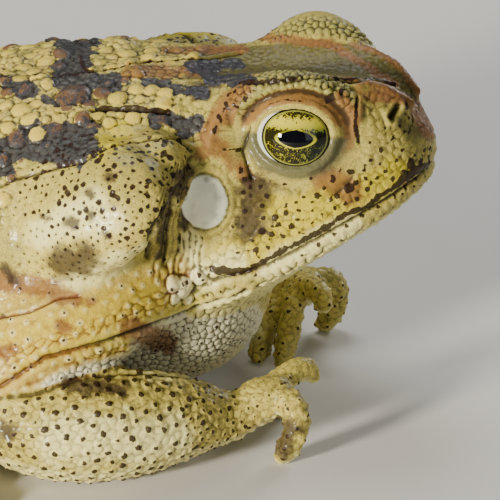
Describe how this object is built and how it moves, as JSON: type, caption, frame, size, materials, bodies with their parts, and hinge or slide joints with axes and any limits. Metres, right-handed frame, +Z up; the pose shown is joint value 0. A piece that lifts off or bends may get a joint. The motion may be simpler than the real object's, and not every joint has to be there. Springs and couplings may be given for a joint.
{
  "type": "cane toad",
  "caption": "Life-size still cane toad sitting on the floor, head raised, elbows bent, with bony eye crests, warty back and large glands behind the ears.",
  "frame": {"origin": "middle of the animal's bounding box, on the floor that it sits on", "axes": "+X the way the animal faces, +Y its left side, +Z up"},
  "size_m": [0.124, 0.133, 0.0786],
  "materials": {
    "back_skin": "dry warty skin, mottled brown and yellow",
    "side_skin": "dry granular skin, yellow with brown dots",
    "throat_skin": "pale granular skin",
    "gland_skin": "smooth skin with dark pores",
    "eardrum_skin": "thin taut skin",
    "lid_skin": "smooth lid skin",
    "eye": "wet and clear over a gold iris"
  },
  "bodies": {
    "root": {"eardrum_left": "eardrum_skin", "eardrum_right": "eardrum_skin", "eye_left": "eye", "eye_right": "eye", "eyelid_left": "lid_skin", "eyelid_right": "lid_skin", "foot_left": "side_skin", "foot_right": "side_skin", "forearm_left": "side_skin", "forearm_right": "side_skin", "hand_left": "side_skin", "hand_right": "side_skin", "head": "side_skin", "lower_jaw": "throat_skin", "parotoid_left": "gland_skin", "parotoid_right": "gland_skin", "shank_left": "side_skin", "shank_right": "side_skin", "thigh_left": "side_skin", "thigh_right": "side_skin", "torso": "back_skin", "upper_arm_left": "side_skin", "upper_arm_right": "side_skin"}
  },
  "joints": []
}
